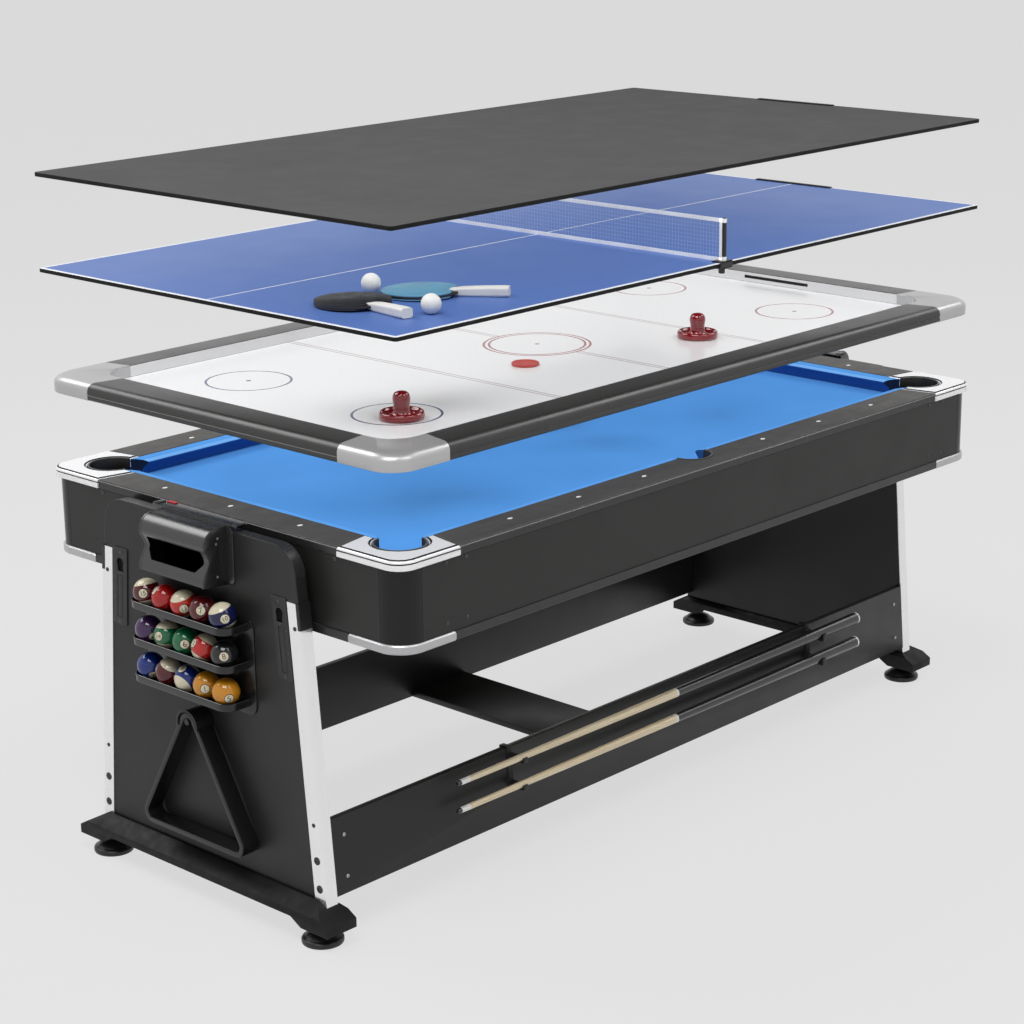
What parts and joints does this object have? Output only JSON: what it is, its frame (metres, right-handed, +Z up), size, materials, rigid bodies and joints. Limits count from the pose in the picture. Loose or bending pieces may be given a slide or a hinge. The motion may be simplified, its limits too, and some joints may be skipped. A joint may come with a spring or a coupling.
{
  "type": "multi game table",
  "caption": "Pool table on a panel-ended stand with an air hockey layer, a table tennis top and a dining top lifted above it, with cues, balls, bats and triangle.",
  "frame": {"origin": "on the floor under the middle of the table", "axes": "+X along the length, away from the end with the ball rack; +Y across, away from the cues; +Z up"},
  "size_m": [2.1834, 1.09, 1.4675],
  "materials": {
    "panel_black": "laminated board, satin black",
    "polished_trim": "polished",
    "beam_black": "moulded, fine grain",
    "rack_black": "moulded, satin",
    "pad_rubber": "satin",
    "bed_cloth": "napped cloth",
    "cushion_cloth": "napped cloth",
    "rail_laminate": "dark laminate, satin",
    "corner_chrome": "polished",
    "cup_black": "moulded, satin",
    "apron_black": "laminated board, satin black",
    "hockey_white": "smooth coated",
    "hockey_rail": "satin",
    "satin_silver": "satin silver",
    "blower_black": "moulded",
    "pusher_red": "gloss",
    "puck_red": "satin",
    "tennis_blue": "painted board, satin",
    "net_white": "knotted net, woven tapes",
    "bat_black": "dimpled sheet",
    "bat_blue": "dimpled sheet",
    "ball_white": "fine satin",
    "dining_grey": "painted board, satin",
    "cue_wood": "clear lacquer",
    "triangle_black": "moulded, satin",
    "pool_balls": "polished"
  },
  "bodies": {
    "stand": {"end_panel_near": "panel_black", "end_panel_far": "panel_black", "side_board_front": "panel_black", "side_board_back": "panel_black", "cross_brace": "panel_black", "leg_trim_near_front": "polished_trim", "leg_trim_near_back": "polished_trim", "leg_trim_far_front": "polished_trim", "leg_trim_far_back": "polished_trim", "foot_beam_near": "beam_black", "foot_beam_far": "beam_black", "ball_rack": "rack_black", "puck_box_near": "rack_black", "puck_box_far": "rack_black", "pool_bed": "bed_cloth", "cushion_front": "cushion_cloth", "cushion_back": "cushion_cloth", "cushion_near": "cushion_cloth", "cushion_far": "cushion_cloth", "rail_front": "rail_laminate", "rail_back": "rail_laminate", "rail_near": "rail_laminate", "rail_far": "rail_laminate", "corner_pocket_near_front": "corner_chrome", "corner_pocket_near_back": "corner_chrome", "corner_pocket_far_front": "corner_chrome", "corner_pocket_far_back": "corner_chrome", "side_cup_front": "cup_black", "side_cup_back": "cup_black", "side_apron_front": "apron_black", "side_apron_back": "apron_black", "end_apron_near": "apron_black", "end_apron_far": "apron_black"},
    "hockey_layer": {"hockey_field": "hockey_white", "hockey_frame": "hockey_rail", "hockey_corner_near_front": "satin_silver", "hockey_corner_near_back": "satin_silver", "hockey_corner_far_front": "satin_silver", "hockey_corner_far_back": "satin_silver", "blower": "blower_black"},
    "tennis_layer": {"tennis_top": "tennis_blue", "tennis_net": "net_white"},
    "dining_layer": {"dining_top": "dining_grey"},
    "leveller_near_front_body": {"leveller_near_front": "pad_rubber"},
    "leveller_near_back_body": {"leveller_near_back": "pad_rubber"},
    "leveller_far_front_body": {"leveller_far_front": "pad_rubber"},
    "leveller_far_back_body": {"leveller_far_back": "pad_rubber"},
    "pusher_near_body": {"pusher_near": "pusher_red"},
    "pusher_far_body": {"pusher_far": "pusher_red"},
    "puck_body": {"puck": "puck_red"},
    "bat_black_body": {"bat_black": "bat_black"},
    "bat_blue_body": {"bat_blue": "bat_blue"},
    "tennis_ball_near_body": {"tennis_ball_near": "ball_white"},
    "tennis_ball_front_body": {"tennis_ball_front": "ball_white"},
    "cue_upper_body": {"cue_upper": "cue_wood"},
    "cue_lower_body": {"cue_lower": "cue_wood"},
    "triangle_body": {"triangle": "triangle_black"},
    "ball_row_1_body": {"ball_row_1": "pool_balls"},
    "ball_row_2_body": {"ball_row_2": "pool_balls"},
    "ball_row_3_body": {"ball_row_3": "pool_balls"}
  },
  "joints": [
    {"name": "hockey_lift", "type": "slide", "parent": "stand", "child": "hockey_layer", "axis": [0, 0, 1], "range_m": [-0.168, 0]},
    {"name": "tennis_lift", "type": "slide", "parent": "hockey_layer", "child": "tennis_layer", "axis": [0, 0, 1], "range_m": [-0.185, 0]},
    {"name": "dining_lift", "type": "slide", "parent": "tennis_layer", "child": "dining_layer", "axis": [0, 0, 1], "range_m": [-0.1, 0]},
    {"name": "leveller_near_front_screw", "type": "slide", "parent": "stand", "child": "leveller_near_front_body", "axis": [0, 0, -1], "range_m": [0, 0.012]},
    {"name": "leveller_near_back_screw", "type": "slide", "parent": "stand", "child": "leveller_near_back_body", "axis": [0, 0, -1], "range_m": [0, 0.012]},
    {"name": "leveller_far_front_screw", "type": "slide", "parent": "stand", "child": "leveller_far_front_body", "axis": [0, 0, -1], "range_m": [0, 0.012]},
    {"name": "leveller_far_back_screw", "type": "slide", "parent": "stand", "child": "leveller_far_back_body", "axis": [0, 0, -1], "range_m": [0, 0.012]},
    {"name": "pusher_near_slide", "type": "slide", "parent": "hockey_layer", "child": "pusher_near_body", "axis": [1, 0, 0], "range_m": [-0.1, 0.3]},
    {"name": "pusher_far_slide", "type": "slide", "parent": "hockey_layer", "child": "pusher_far_body", "axis": [1, 0, 0], "range_m": [-0.2, 0.35]},
    {"name": "puck_slide", "type": "slide", "parent": "hockey_layer", "child": "puck_body", "axis": [0, 1, 0], "range_m": [-0.2, 0.3]},
    {"name": "bat_black_lift", "type": "slide", "parent": "tennis_layer", "child": "bat_black_body", "axis": [0, 0, 1], "range_m": [0, 0.05]},
    {"name": "bat_blue_lift", "type": "slide", "parent": "tennis_layer", "child": "bat_blue_body", "axis": [0, 0, 1], "range_m": [0, 0.05]},
    {"name": "tennis_ball_near_lift", "type": "slide", "parent": "tennis_layer", "child": "tennis_ball_near_body", "axis": [0, 0, 1], "range_m": [0, 0.04]},
    {"name": "tennis_ball_front_lift", "type": "slide", "parent": "tennis_layer", "child": "tennis_ball_front_body", "axis": [0, 0, 1], "range_m": [0, 0.04]},
    {"name": "cue_upper_lift", "type": "slide", "parent": "stand", "child": "cue_upper_body", "axis": [0, 0, 1], "range_m": [0, 0.02]},
    {"name": "cue_lower_lift", "type": "slide", "parent": "stand", "child": "cue_lower_body", "axis": [0, 0, 1], "range_m": [0, 0.02]},
    {"name": "triangle_unhook", "type": "slide", "parent": "stand", "child": "triangle_body", "axis": [-1, 0, 0], "range_m": [0, 0.06]},
    {"name": "ball_row_1_lift", "type": "slide", "parent": "stand", "child": "ball_row_1_body", "axis": [0, 0, 1], "range_m": [0, 0.018]},
    {"name": "ball_row_2_lift", "type": "slide", "parent": "stand", "child": "ball_row_2_body", "axis": [0, 0, 1], "range_m": [0, 0.018]},
    {"name": "ball_row_3_lift", "type": "slide", "parent": "stand", "child": "ball_row_3_body", "axis": [0, 0, 1], "range_m": [0, 0.018]}
  ]
}
